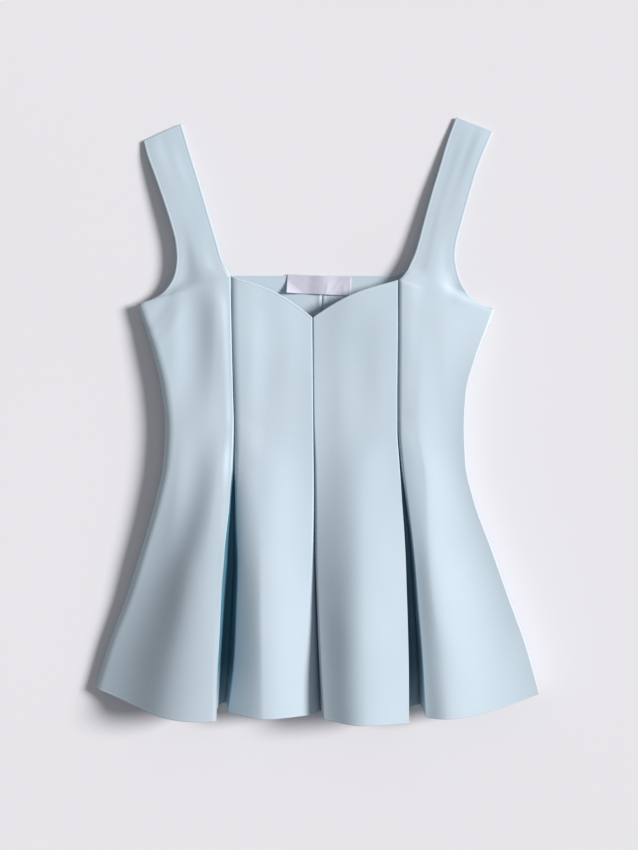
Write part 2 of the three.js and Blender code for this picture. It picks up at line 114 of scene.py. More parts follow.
def pale_card():
    """Smooth matt card with a hardly visible drift of tone."""
    material, tree, shader = new_material("pale_card")
    place = add_node(tree, "ShaderNodeTexCoord").outputs["Object"]
    drift = noise_between(tree, place, 1.5, 2, 0, 1)
    set_inputs(tree, shader, {
        "Base Color": mixed(tree, drift, floor_colour, toned(floor_colour, 0.985)),
        "Roughness": 0.9, "Specular IOR Level": 0.1})
    return material


floor_mesh = bpy.data.meshes.new("floor")
w = floor_half_width
floor_mesh.from_pydata(
    [(-w, -w, -floor_drop), (w, -w, -floor_drop), (w, w, -floor_drop), (-w, w, -floor_drop)],
    [],
    [(0, 1, 2, 3)],
)
floor_mesh.materials.append(pale_card())
floor = bpy.data.objects.new("floor", floor_mesh)
scene.collection.objects.link(floor)

lamp_data = bpy.data.lights.new("lamp", "SUN")
lamp_data.energy = lamp_strength
lamp_data.angle = lamp_spread
lamp_data.color = (1.0, 0.985, 0.975)
lamp = bpy.data.objects.new("lamp", lamp_data)
towards_lamp = Vector((
    math.cos(lamp_elevation) * math.cos(lamp_direction),
    math.cos(lamp_elevation) * math.sin(lamp_direction),
    math.sin(lamp_elevation),
))
lamp.rotation_mode = "QUATERNION"
lamp.rotation_quaternion = towards_lamp.to_track_quat("Z", "Y")
scene.collection.objects.link(lamp)

room = bpy.data.worlds.new("room")
room.use_nodes = True
room.node_tree.nodes["Background"].inputs["Color"].default_value = room_colour
room.node_tree.nodes["Background"].inputs["Strength"].default_value = room_strength
scene.world = room
scene.view_settings.view_transform = "Standard"

# Left side front, with its strap. Bonded crepe, cut in one piece from the hem to the shoulder. It
# is sewn to the back down the side and to the centre front down the princess seam, which opens
# into a deep inverted fold. Its free edges are turned in and pressed to a thin roll.

# Tables and sizes are in millimetres: X across the top, Y from hem to straps, Z up from the floor.
metre = 0.001
cloth_thickness = 1.2
seam_gap = 0.3
row_pitch = 4
wide_steps = 30
narrow_steps = 20
turn_steps = 14
edge_stops = [0, 0.4, 0.8, 1.2, 1.6, 2.0, 2.5, 3.2, 4.4, 6.4]
rim_steps = 4


def table(columns, *rows):
    """Rows of figures as rows with named columns."""
    names = columns.split()
    return [dict(zip(names, row)) for row in rows]


def read(rows, y):
    """Smooth reading of a table at any height y, with no overshoot between its rows."""
    last = len(rows) - 1
    held = min(max(y, rows[0]["y"]), rows[last]["y"])
    i = 0
    while i < last - 1 and held > rows[i + 1]["y"]:
        i += 1
    span = rows[i + 1]["y"] - rows[i]["y"]
    t = (held - rows[i]["y"]) / span

    def slope(name, k):
        return (rows[k + 1][name] - rows[k][name]) / (rows[k + 1]["y"] - rows[k]["y"])

    def tangent(name, k):
        if k == 0:
            return slope(name, 0)
        if k == last:
            return slope(name, last - 1)
        before, after = slope(name, k - 1), slope(name, k)
        return 0 if before * after <= 0 else 2 * before * after / (before + after)

    values = {}
    for name in rows[0]:
        start, end = rows[i][name], rows[i + 1][name]
        leave, arrive = tangent(name, i) * span, tangent(name, i + 1) * span
        values[name] = (
            start * (1 + 2 * t) * (1 - t) ** 2
            + leave * t * (1 - t) ** 2
            + end * t * t * (3 - 2 * t)
            + arrive * t * t * (t - 1)
        )
    return values


def between(a, b, t):
    """The value a fraction t of the way from a to b."""
    return a + (b - a) * t


def held_between(value, low, high):
    """A value kept within two limits."""
    return min(max(value, low), high)


def bezier(a, b, c, d, steps):
    """Points along a cubic curve."""
    points = []
    for i in range(steps + 1):
        t = i / steps
        s = 1 - t
        points.append(s ** 3 * a + 3 * s * s * t * b + 3 * s * t * t * c + t ** 3 * d)
    return points


def spaced(length, pitch, from_edge, to_edge):
    """Fractions of a length about a pitch apart, and much closer beside a free edge."""
    lead = edge_stops if from_edge else [0]
    tail = edge_stops if to_edge else [0]
    middle = length - lead[-1] - tail[-1]
    count = round(middle / pitch)
    stops = lead[:-1] + [lead[-1] + middle * i / count for i in range(count + 1)]
    stops += [length - stop for stop in reversed(tail[:-1])]
    return [stop / length for stop in stops]


# Where a fold is full, the panel's edge curves back under itself. A row of support points holds
# the start of the turn, and turn_softness is how far its curve keeps to the corner.
full_fold = 4
support_row = 0.12
turn_softness = 0.6


def half_section(crest, seam, turn, steps):
    """Half a section: a sweep from the crest to the start of the turn, then down to the seam."""
    way = 1 if crest["x"] > seam["x"] else -1
    corner = Vector((seam["x"] + way * turn["lean"], seam["z"] + turn["wall"]))
    start = Vector((corner.x + way * turn["round"], corner.y + turn["tilt"] * turn["round"]))
    level = crest["left" if way > 0 else "right"] * (start.x - crest["x"])
    reach = turn["reach"] * (start.x - crest["x"])
    sweep = bezier(
        Vector((crest["x"], crest["z"])),
        Vector((crest["x"] + level, crest["z"])),
        Vector((start.x - reach, start.y - turn["tilt"] * way * reach)),
        start,
        steps,
    )
    sweep.insert(-1, start.lerp(sweep[-2], support_row))
    foot = Vector((seam["x"], seam["z"]))
    folded = held_between(turn["under"] / full_fold, 0, 1)
    drawn_under = Vector((corner.x + way * turn["under"], foot.y))
    turning = bezier(
        start,
        start.lerp(corner, turn_softness + turn_softness * folded),
        foot.lerp(corner, turn_softness).lerp(drawn_under, folded),
        foot,
        turn_steps,
    )
    return sweep + turning[1:]


neckline_lean = 1.15


def section(left, right, crest, left_turn, right_turn, left_steps, right_steps, bow_from="left"):
    """A whole section between two seams. The cloth dips to the hem where it stands up, and bows
    up between the seams along a neckline."""
    flat = half_section(crest, left, left_turn, left_steps)[::-1]
    flat += half_section(crest, right, right_turn, right_steps)[1:]
    points = []
    for p in flat:
        across = (p.x - left["x"]) / (right["x"] - left["x"])
        chord = between(left["z"], right["z"], across)
        from_seam = held_between(1 - across if bow_from == "right" else across, 0, 1)
        bow = crest["bow"] * math.sin(math.pi * from_seam ** neckline_lean)
        y = between(left["y"], right["y"], across) - crest["dip"] * (p.y - chord) + bow
        points.append(Vector((p.x, y, p.y)))
    return points


def shifted(row, dx, dz=0):
    """A seam point moved across or up."""
    return {**row, "x": row["x"] + dx, "z": row["z"] + dz}


def front_panel(left, right, crest, left_turn, right_turn, left_steps, right_steps,
                bow_from="left", side_seam="", neck_edge=False):
    """Sections of a front panel from the hem up to its top edge."""
    half = seam_gap / 2
    length = (left[-1]["y"] + right[-1]["y"] - left[0]["y"] - right[0]["y"]) / 2
    rows = []
    for up in spaced(length, row_pitch, True, neck_edge):
        left_y = between(left[0]["y"], left[-1]["y"], up)
        right_y = between(right[0]["y"], right[-1]["y"], up)
        left_point, right_point = read(left, left_y), read(right, right_y)
        rows.append(section(
            shifted(left_point, 0, half) if side_seam == "left" else shifted(left_point, half),
            shifted(right_point, 0, half) if side_seam == "right" else shifted(right_point, -half),
            read(crest, (left_y + right_y) / 2),
            read(left_turn, left_y),
            read(right_turn, right_y),
            left_steps,
            right_steps,
            bow_from,
        ))
    return rows


def turn_into(before, after, y_from, y_to):
    """A turn that changes into another between two heights."""
    return [{"y": y_from, **before}, {"y": y_to, **after}]


strap_change = 16


def front_strap(outside, inside, pairs, crest, side_turn, side):
    """Sections of the strap that carries on a side front, from the neck point to the shoulder."""
    half = seam_gap / 2
    turn = {key: value for key, value in side_turn[-1].items() if key != "y"}
    outside_turn = turn_into(turn, free_edge, outside[0]["y"], outside[0]["y"] + strap_change)
    inside_turn = turn_into(seam_turn, free_edge, inside[0]["y"], inside[0]["y"] + strap_change)
    length = (outside[-1]["y"] + inside[-1]["y"] - outside[0]["y"] - inside[0]["y"]) / 2
    rows = []
    for up in spaced(length, row_pitch, False, True)[1:]:
        pair = read(pairs, up)
        outer = shifted(read(outside, pair["outside"]), 0, half)
        inner = shifted(read(inside, pair["inside"]), -half if side == "left" else half)
        ridge = read(crest, (pair["outside"] + pair["inside"]) / 2)
        outer_turn = read(outside_turn, pair["outside"])
        inner_turn = read(inside_turn, pair["inside"])
        if side == "left":
            rows.append(section(
                outer, inner, ridge, outer_turn, inner_turn, wide_steps, narrow_steps))
        else:
            rows.append(section(
                inner, outer, ridge, inner_turn, outer_turn, narrow_steps, wide_steps))
    return rows


def soft_bump(t):
    """A smooth hump that is 1 at t = 0 and dies away at t = -1 and t = 1."""
    return (1 - t * t) ** 2 if abs(t) < 1 else 0.0


def crease_height(creases, x, y):
    """How far the soft creases lift the cloth at a point, or sink it if below zero."""
    height = 0.0
    for crease in creases:
        angle = math.radians(crease["angle"])
        dx, dy = x - crease["x"], y - crease["y"]
        along = dx * math.cos(angle) + dy * math.sin(angle)
        across = dy * math.cos(angle) - dx * math.sin(angle)
        bend = crease["bend"] * (along / crease["length"]) ** 2
        height += crease["height"] * soft_bump(along / crease["length"]) * soft_bump(
            (across - bend) / crease["width"])
    return height


hand_smoothing = table("height across along level", (0.42, 62, 85, 3.1), (0.10, 24, 33, 7.7))


def unevenness(x, y):
    """The slight rise and fall of cloth smoothed out by hand."""
    return sum(
        wave["height"] * noise.noise(Vector((x / wave["across"], y / wave["along"], wave["level"])))
        for wave in hand_smoothing
    )


def grid_normals(rows):
    """The outward direction at each point of a grid of sections."""
    def neighbour(r, c, dr, dc):
        i, j = r + dr, c + dc
        inside = 0 <= i < len(rows) and 0 <= j < len(rows[0])
        return rows[i][j] if inside and rows[i][j] is not None else None

    normals = []
    for r, row in enumerate(rows):
        line = []
        for c, p in enumerate(row):
            if p is None:
                line.append(None)
                continue
            right, left = neighbour(r, c, 0, 1), neighbour(r, c, 0, -1)
            above, below = neighbour(r, c, 1, 0), neighbour(r, c, -1, 0)
            across = (right or p) - (left or p)
            along = (above or p) - (below or p)
            line.append(across.cross(along).normalized())
        normals.append(line)
    return normals


def corners_of(r, c):
    """The four grid points round a cell."""
    return (r, c), (r, c + 1), (r + 1, c + 1), (r + 1, c)


edge_point_pitch = 0.3


def edge_tree(rows, on_seam):
    """Points all along the free edges of a grid, to measure distances from."""
    height, width = len(rows), len(rows[0])

    def cell(r, c):
        inside = 0 <= r < height - 1 and 0 <= c < width - 1
        return inside and all(rows[i][j] is not None for i, j in corners_of(r, c))

    edges, points = [], []
    for r in range(height - 1):
        for c in range(width - 1):
            if not cell(r, c):
                continue
            corners = corners_of(r, c)
            beside = (cell(r - 1, c), cell(r, c + 1), cell(r + 1, c), cell(r, c - 1))
            for k, joined in enumerate(beside):
                if joined:
                    continue
                a, b = corners[k], corners[(k + 1) % 4]
                edges.append((a, b))
                if on_seam(*a) and on_seam(*b):
                    continue
                start, end = rows[a[0]][a[1]], rows[b[0]][b[1]]
                count = max(1, math.ceil((end - start).length / edge_point_pitch))
                points += [start.lerp(end, i / count) for i in range(count)]
    tree = kdtree.KDTree(len(points))
    for i, p in enumerate(points):
        tree.insert(p, i)
    tree.balance()
    return edges, tree


roll_height = 0.11
roll_width = 1.0
stitch_groove_depth = 0.1
stitch_groove_width = 0.5
stitch_groove_inset = 2.2


def edge_roll(distance):
    """The height of the pressed roll along a free edge, and of the stitch groove inside it."""
    roll = roll_height * soft_bump((distance - roll_width) / roll_width)
    groove = soft_bump((distance - stitch_groove_inset) / stitch_groove_width)
    return roll - stitch_groove_depth * groove


# Light that bounces about in a fold comes out deeper in colour, and painted shade stands in for it:
# deep in a fold the crepe's colour is painted darker and deeper blue. A fold up to shallow_fold
# high has none of it, and one higher by fold_growth has all. It grows downwards over dark_fold,
# from above the lip, and fades over open_mouth towards the hem.
shallow_fold = 5
fold_growth = 8
dark_fold = 8
above_lip = 0.8
open_mouth = 45
open_fold_share = 0.45
# Painted shade along a seam's turn, darkest at the seam and fading up the turn.
seam_shade = 0.6
seam_fade = 1.5


def painted_fold_shade(rows, r, c, fold):
    """How much painted shade a point gets for lying deep in an inverted fold: 0 outside it, 1 where
    hardly any light reaches. The painted shade is lighter again at the fold's open mouth, along the
    hem."""
    row = rows[r]
    left = c < len(row) / 2
    foot, lip = (row[0], row[turn_steps]) if left else (row[-1], row[-1 - turn_steps])
    whole = held_between((lip.z - foot.z - shallow_fold) / fold_growth, 0, 1)
    sunk = held_between((lip.z - row[c].z + above_lip) / dark_fold, 0, 1)
    from_hem = held_between((row[c].y - rows[0][c].y) / open_mouth, 0, 1)
    shut = between(open_fold_share, 1, from_hem)
    return fold * whole * sunk * shut


def shade(rows, r, c, folds, on_seam):
    """How much painted shade darkens a point that is turned down into a fold or a seam."""
    row = rows[r]
    from_end = min(c, len(row) - 1 - c)
    left = c < len(row) / 2
    fold = folds[0 if left else 1]
    if fold is None or from_end >= turn_steps or not on_seam(r, 0 if left else len(row) - 1):
        return 0.0
    in_seam = seam_shade * (1 - from_end / turn_steps) ** seam_fade
    return max(painted_fold_shade(rows, r, c, fold), in_seam)


# The outer face of each panel is kept, for the stitches that lie on it.
outer_faces = {}


def shell(name, rows, on_seam, creases, inside_ridge=None, folds=(None, None)):
    """A sheet of cloth as a mesh object, from sections of its outer face. The roll and creases go
    on the face that is up: the inside where it has a ridge. Each free edge gets a rounded rim.
    Each side's entry in folds sets how much painted shade darkens its fold or seam; None paints
    none."""
    edges, tree = edge_tree(rows, on_seam)
    normals = grid_normals(rows)
    outer, inner = {}, {}
    for r, row in enumerate(rows):
        for c, p in enumerate(row):
            if p is None:
                continue
            lift = edge_roll(tree.find(p)[2])
            form = crease_height(creases, p.x, p.y)
            if inside_ridge is None:
                form += unevenness(p.x, p.y)
                outer[r, c] = p + normals[r][c] * (lift + form)
                inner[r, c] = p + normals[r][c] * (form - cloth_thickness)
            else:
                form = max(form, 0)
                lift += inside_ridge(p)
                outer[r, c] = p - normals[r][c] * form
                inner[r, c] = p - normals[r][c] * (cloth_thickness + form + lift)

    outer_faces[name] = outer
    vertices, faces, face_uvs = [], [], []
    place = {}

    def vertex(key, point):
        if key not in place:
            place[key] = len(vertices)
            vertices.append(point * metre)
        return place[key]

    across = [[0.0] * len(rows[0]) for _ in rows]
    along = [[0.0] * len(rows[0]) for _ in rows]
    for r, row in enumerate(rows):
        for c, p in enumerate(row):
            if p is None:
                continue
            if c and row[c - 1] is not None:
                across[r][c] = across[r][c - 1] + (p - row[c - 1]).length
            if r and rows[r - 1][c] is not None:
                along[r][c] = along[r - 1][c] + (p - rows[r - 1][c]).length

    def uv(r, c):
        return across[r][c] * metre, along[r][c] * metre

    for r in range(len(rows) - 1):
        for c in range(len(rows[0]) - 1):
            corners = corners_of(r, c)
            if any(k not in outer for k in corners):
                continue
            faces.append([vertex(("out", k), outer[k]) for k in corners])
            face_uvs.append([uv(*k) for k in corners])
            faces.append([vertex(("in", k), inner[k]) for k in reversed(corners)])
            face_uvs.append([uv(*k) for k in reversed(corners)])

    outward = {}
    for a, b in edges:
        push = (outer[b] - outer[a]).cross(normals[a[0]][a[1]]).normalized()
        for k in (a, b):
            outward[k] = outward.get(k, Vector((0, 0, 0))) + push

    def rim(k, step):
        if step == 0:
            return vertex(("out", k), outer[k])
        if step == rim_steps:
            return vertex(("in", k), inner[k])
        angle = math.pi * step / rim_steps
        bulge = 0 if on_seam(*k) else 0.5 * (inner[k] - outer[k]).length * math.sin(angle)
        point = outer[k].lerp(inner[k], (1 - math.cos(angle)) / 2)
        return vertex(("rim", k, step), point + outward[k].normalized() * bulge)

    for a, b in edges:
        for step in range(rim_steps):
            faces.append([rim(b, step), rim(a, step), rim(a, step + 1), rim(b, step + 1)])
            face_uvs.append([uv(*b), uv(*a), uv(*a), uv(*b)])

    mesh = bpy.data.meshes.new(name)
    mesh.from_pydata(vertices, [], faces)
    layer = mesh.uv_layers.new(name="cloth")
    for polygon, corners in zip(mesh.polygons, face_uvs):
        polygon.use_smooth = True
        for loop, corner in zip(polygon.loop_indices, corners):
            layer.data[loop].uv = corner
    # Painted shade for folds and seams is kept on each point, for the crepe's colour to read.
    depth = mesh.attributes.new("painted_shade_mask", "FLOAT", "POINT")
    for key, index in place.items():
        depth.data[index].value = shade(rows, *key[1], folds, on_seam)
    mesh.validate()
    piece = bpy.data.objects.new(name, mesh)
    scene.collection.objects.link(piece)
    return piece


loosest = 0.88
tightest = 1.06


def sewing_tree():
    """Geometry Nodes that lay a row of stitches along a line of points."""
    tree = bpy.data.node_groups.new("row_of_stitches", "GeometryNodeTree")
    for name, kind in (
        ("Line", "NodeSocketGeometry"), ("Stitch length", "NodeSocketFloat"),
        ("Gap", "NodeSocketFloat"), ("Thread radius", "NodeSocketFloat"),
        ("Seed", "NodeSocketInt"), ("Thread", "NodeSocketMaterial"),
    ):
        tree.interface.new_socket(name, in_out="INPUT", socket_type=kind)
    tree.interface.new_socket("Stitches", in_out="OUTPUT", socket_type="NodeSocketGeometry")
    given = add_node(tree, "NodeGroupInput").outputs
    line = add_node(tree, "GeometryNodeMeshToCurve", {"Mesh": given["Line"]})
    pitch = add_node(
        tree, "ShaderNodeMath", {0: given["Stitch length"], 1: given["Gap"]}, operation="ADD")
    evenly = add_node(tree, "GeometryNodeResampleCurve", {
        "Curve": line.outputs["Curve"], "Length": pitch.outputs["Value"]}, mode="LENGTH")
    ball = add_node(tree, "GeometryNodeMeshUVSphere", {"Segments": 6, "Rings": 5, "Radius": 1})
    half_length = add_node(
        tree, "ShaderNodeMath", {0: given["Stitch length"], 1: 0.5}, operation="MULTIPLY")
    size = add_node(tree, "ShaderNodeCombineXYZ", {
        "X": half_length.outputs["Value"], "Y": given["Thread radius"],
        "Z": given["Thread radius"]})
    tension = add_node(tree, "FunctionNodeRandomValue", {
        2: loosest, 3: tightest, "Seed": given["Seed"]}, data_type="FLOAT")
    pulled = add_node(tree, "ShaderNodeVectorMath", {
        0: size.outputs["Vector"], "Scale": tension.outputs[1]}, operation="SCALE")
    way = add_node(tree, "GeometryNodeInputTangent")
    turned = add_node(tree, "FunctionNodeAlignRotationToVector", {
        "Vector": way.outputs["Tangent"]}, axis="X")
    laid = add_node(tree, "GeometryNodeInstanceOnPoints", {
        "Points": evenly.outputs["Curve"], "Instance": ball.outputs["Mesh"],
        "Rotation": turned.outputs["Rotation"], "Scale": pulled.outputs["Vector"]})
    real = add_node(tree, "GeometryNodeRealizeInstances", {"Geometry": laid.outputs["Instances"]})
    smooth = add_node(tree, "GeometryNodeSetShadeSmooth", {"Geometry": real.outputs["Geometry"]})
    dyed = add_node(tree, "GeometryNodeSetMaterial", {
        "Geometry": smooth.outputs["Geometry"], "Material": given["Thread"]})
    add_node(tree, "NodeGroupOutput", {"Stitches": dyed.outputs["Geometry"]})
    return tree


stitching = sewing_tree()
stitch_length = 2.3
stitch_gap = 0.9
stitch_thread = 0.2
hem_depth = 3.4
thread_blue = (0.50, 0.61, 0.69, 1)


def relief(tree, height, strength, distance):
    """The normals of a surface with a fine relief on it."""
    bump = add_node(tree, "ShaderNodeBump", {
        "Height": height, "Strength": strength, "Distance": distance})
    return bump.outputs["Normal"]


def spun_thread():
    """Fine twisted polyester thread, a little shinier than the crepe."""
    material, tree, shader = new_material("spun_thread")
    place = add_node(tree, "ShaderNodeTexCoord").outputs["Object"]
    twist = add_node(tree, "ShaderNodeTexWave", {
        "Vector": place, "Scale": 1400}, bands_direction="DIAGONAL").outputs["Fac"]
    set_inputs(tree, shader, {
        "Base Color": mixed(tree, twist, thread_blue, toned(thread_blue, 1.12)),
        "Roughness": 0.5, "Normal": relief(tree, twist, 0.4, 0.00005)})
    return material


thread = spun_thread()


def stitches(name, line, seed):
    """A row of stitches along a line of points, as a plain mesh."""
    path = bpy.data.meshes.new(name + "_line")
    path.from_pydata([p * metre for p in line], [(i, i + 1) for i in range(len(line) - 1)], [])
    guide = bpy.data.objects.new(name + "_line", path)
    scene.collection.objects.link(guide)
    sewn = guide.modifiers.new("sewing", "NODES")
    sewn.node_group = stitching
    values = {
        "Stitch length": stitch_length * metre, "Gap": stitch_gap * metre,
        "Thread radius": stitch_thread * metre, "Seed": seed, "Thread": thread,
    }
    for item in stitching.interface.items_tree:
        if item.in_out == "INPUT" and item.name in values:
            sewn[item.identifier] = values[item.name]
    graph = bpy.context.evaluated_depsgraph_get()
    graph.update()
    mesh = bpy.data.meshes.new_from_object(guide.evaluated_get(graph))
    mesh.name = name
    bpy.data.objects.remove(guide)
    row = bpy.data.objects.new(name, mesh)
    scene.collection.objects.link(row)
    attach(row, "root")


def hem_line(name, rows):
    """The stitching line of a panel's hem, on its outer face between its seams."""
    line = []
    for c in range(turn_steps, len(rows[0]) - turn_steps):
        r = 1
        while (rows[r][c] - rows[0][c]).length < hem_depth:
            r += 1
        step = (rows[r][c] - rows[r - 1][c]).length
        short = (rows[r][c] - rows[0][c]).length - hem_depth
        line.append(outer_faces[name][r, c].lerp(outer_faces[name][r - 1, c], short / step))
    return line


pale_blue = (0.548, 0.645, 0.722, 1)
cooler_blue = (0.524, 0.628, 0.708, 1)
# The deep dark blue that painted shade in folds and seams turns the crepe towards.
painted_shade_blue = (0.06, 0.175, 0.245, 1)


def bonded_crepe():
    """Two faces of fine crepe bonded together: a matt pebbled surface with a little sheen."""
    material, tree, shader = new_material("bonded_crepe")
    place = add_node(tree, "ShaderNodeTexCoord").outputs
    drift = noise_between(tree, place["Object"], 11, 3, 0, 1)
    fleck = noise_between(tree, place["Object"], 900, 2, 0, 0.35)
    dyed = mixed(tree, drift, pale_blue, cooler_blue)
    faced = mixed(tree, fleck, dyed, toned(cooler_blue, 0.94))
    in_fold = add_node(tree, "ShaderNodeAttribute", attribute_name="painted_shade_mask")
    pebble = add_node(tree, "ShaderNodeTexVoronoi", {
        "Vector": place["UV"], "Scale": 1500}, feature="SMOOTH_F1")
    crinkle = add_node(tree, "ShaderNodeTexNoise", {
        "Vector": place["UV"], "Scale": 700, "Detail": 3})
    grain = add_node(tree, "ShaderNodeMath", {
        0: pebble.outputs["Distance"], 1: crinkle.outputs["Fac"]}, operation="ADD")
    set_inputs(tree, shader, {
        # The colour turns towards a deep blue as painted shade in folds and seams.
        "Base Color": mixed(tree, in_fold.outputs["Fac"], faced, painted_shade_blue),
        "Roughness": noise_between(tree, place["Object"], 40, 2, 0.66, 0.78),
        "Specular IOR Level": 0.3, "Sheen Weight": 0.12, "Sheen Roughness": 0.45,
        "Sheen Tint": (0.88, 0.95, 1.0, 1),
        "Normal": relief(tree, grain.outputs["Value"], 0.35, 0.00012)})
    return material


crepe = bonded_crepe()


def cloth_piece(piece, node):
    """Finishes one cut panel: its cloth, its body and its cut."""
    piece.data.materials.append(crepe)
    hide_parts(node)
    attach(piece, "root")


left_side_seam = table(
    "y x z",
    (-286.8, -233.1, 7),
    (-240.3, -218.8, 7.5),
    (-189.8, -199.8, 8.5),
    (-139.3, -183.9, 10),
    (-88.8, -169.2, 11.6),
    (-51, -161.2, 12.5),
    (-13.2, -159, 12.5),
    (24.7, -162.6, 12),
    (62.6, -171.1, 11),
    (90, -179.5, 10),
    (117.1, -188.4, 9),
)
left_princess_seam = table(
    "y x z",
    (-303.8, -96.6, 3),
    (-248.4, -91.2, 4),
    (-194.9, -88.3, 7),
    (-141.6, -86, 11.5),
    (-88.7, -86, 16),
    (-46.6, -86.2, 19),
    (-15.2, -86, 20),
    (26.6, -87, 20),
    (78.9, -88.6, 19),
    (145.4, -90, 15),
)
left_armhole = table(
    "y x z",
    (117.1, -188.4, 9),
    (122.1, -174.1, 10),
    (129.3, -162.1, 11),
    (139.5, -153.1, 11.6),
    (151.1, -148.4, 12),
    (165.1, -146.7, 12),
    (180.8, -147.8, 11.8),
    (198.7, -152.1, 11.3),
    (227.3, -161.2, 10),
    (255.2, -171.1, 8),
    (276.6, -179, 5.4),
    (291.4, -183, 2.7),
)
left_strap_inside = table(
    "y x z",
    (145.4, -90, 15),
    (151.8, -93.2, 14.6),
    (163.9, -99.9, 13.8),
    (180.7, -104.8, 13),
    (208.6, -113.2, 11.6),
    (244.5, -123.8, 9.5),
    (279.5, -134.7, 6),
    (309.2, -143.6, 2.7),
)
left_side_ridge = table(
    "y x z dip bow left right",
    (-295, -107, 54, 0.15, -7, 0.56, 0.47),
    (-240, -106, 52.2, 0.1, -4, 0.56, 0.47),
    (-180, -104, 46.8, 0.08, -1, 0.54, 0.47),
    (-120, -101, 38.8, 0.03, 0, 0.45, 0.47),
    (-60, -99, 29, 0, 0, 0.4, 0.47),
    (-13, -96, 23.9, 0, 0, 0.3, 0.47),
    (50, -98, 23, 0, 0, 0.12, 0.47),
    (100, -102, 21.4, 0, 0, 0.15, 0.47),
    (131, -112, 18, 0, 0, 0.3, 0.47),
    (172, -124, 14, 0, 0, 0.47, 0.47),
    (205, -131, 11.9, 0, 0, 0.47, 0.47),
    (250, -146, 9.3, 0, 0, 0.47, 0.47),
    (300, -163, 3.1, 0, 0, 0.47, 0.47),
)
left_strap_pairs = table(
    "y outside inside",
    (0, 117.1, 145.4),
    (0.15, 122.5, 149),
    (0.35, 139.5, 157),
    (0.5, 165, 174),
    (0.66, 205, 212),
    (0.84, 250, 262),
    (1, 291.4, 309.2),
)
seam_turn = {"round": 3, "wall": 2.6, "lean": 0, "tilt": 0.06, "under": 0, "reach": 0.47}
free_edge = {"round": 6, "wall": 0, "lean": 0, "tilt": 0.03, "under": 0, "reach": 0.47}
left_side_turn = table(
    "y round wall lean tilt under reach",
    (-286.8, 8, 3.4, 0, 0.34, 0, 0.5),
    (-240.3, 8, 4.2, 0, 0.32, 0, 0.5),
    (-190, 9, 5.5, 0, 0.28, 0, 0.56),
    (-139, 9, 7, 0, 0.22, 0, 0.6),
    (-60, 10, 7.5, 0, 0.15, 0, 0.55),
    (-13, 11, 8, 0, 0.08, 0, 0.6),
    (50, 10, 7.5, 0, 0.03, 0, 0.75),
    (117.1, 8, 4, 0, 0.05, 0, 0.6),
)
left_fold_outside = table(
    "y round wall lean tilt under reach",
    (-303.8, 0.8, 50.5, 4, 0.03, 9, 0.47),
    (-248, 0.8, 48, 8.5, 0.03, 9, 0.47),
    (-195, 0.8, 41, 9, 0.03, 8, 0.47),
    (-142, 0.8, 30.5, 8, 0.03, 6, 0.47),
    (-89, 1, 17.6, 3.2, 0.03, 4, 0.47),
    (-40, 1.2, 6, 1, 0.03, 1.5, 0.47),
    (0, 1.3, 2.6, 0, 0.04, 0, 0.47),
)
left_side_creases = table(
    "x y angle length width bend height",
    (-128, 85, 88, 105, 23, 3, -2.3),
    (-126, -80, 84, 85, 22, 4, -2.3),
    (-165, 108, 52, 42, 9, 4, -0.7),
    (-150, 96, 60, 38, 8, 3, 0.5),
)

side_left_rows = front_panel(
    left_side_seam, left_princess_seam, left_side_ridge, left_side_turn, left_fold_outside,
    wide_steps, narrow_steps, side_seam="left",
)
side_left_body = len(side_left_rows)
side_left_rows += front_strap(
    left_armhole, left_strap_inside, left_strap_pairs, left_side_ridge, left_side_turn, "left",
)


def side_front_seams(rows, body):
    """Tells which points of a side front lie on a seam: its sides below the straps and its end."""
    last_row, last_column = len(rows) - 1, len(rows[0]) - 1
    return lambda r, c: r == last_row or (r < body and c in (0, last_column))


# Painted shade fills its inverted fold on the right; its outer side gets none.
side_front_left = shell(
    "left_side_front", side_left_rows, side_front_seams(side_left_rows, side_left_body),
    left_side_creases, folds=(None, 1),
)
cloth_piece(side_front_left, "side_front_left")
stitches("left_side_front_hem_stitches", hem_line("left_side_front", side_left_rows), 1)

# Left centre front. The same crepe, from the hem to the sweetheart neck edge. It stands up in a
# broad pleat beside the inverted fold, and falls softly to the centre front seam.
centre_front_seam = table(
    "y x z",
    (-308.3, 5, 17),
    (-268.5, 2.6, 17.5),
    (-205.7, 0.1, 18.5),
    (-142.8, -1.6, 19.5),
    (-59.1, -2.4, 20),
    (25.5, -3.5, 19.6),
    (102.2, -4.1, 15.5),
)
left_fold_inside = table(
    "y round wall lean tilt under reach",
    (-303.8, 1.6, 18.5, 3.4, 0.6, 2, 0.26),
    (-248, 1.6, 18.5, 4.2, 0.6, 2, 0.26),
    (-195, 1.6, 15.6, 3.8, 0.62, 2, 0.26),
    (-142, 1.6, 11.4, 2.5, 0.66, 2, 0.28),
    (-89, 2, 6.4, 1, 0.58, 1, 0.35),
    (-40, 6, 3.8, 0.2, 0.2, 0, 0.4),
    (0, 8, 2.8, 0, 0.05, 0, 0.47),
)
centre_fold_left = table(
    "y round wall lean tilt under reach",
    (-308, 14, 7.5, 0, 0.24, 0, 0.45),
    (-248, 12, 7.5, 0, 0.22, 0, 0.45),
    (-195, 8, 6.5, 0, 0.18, 0, 0.5),
    (-142, 4, 5.2, 0, 0.1, 0, 0.5),
    (-60, 1.8, 2.2, 0, 0.03, 0, 0.47),
    (-10, 1.6, 1.6, 0, 0, 0, 0.47),
)
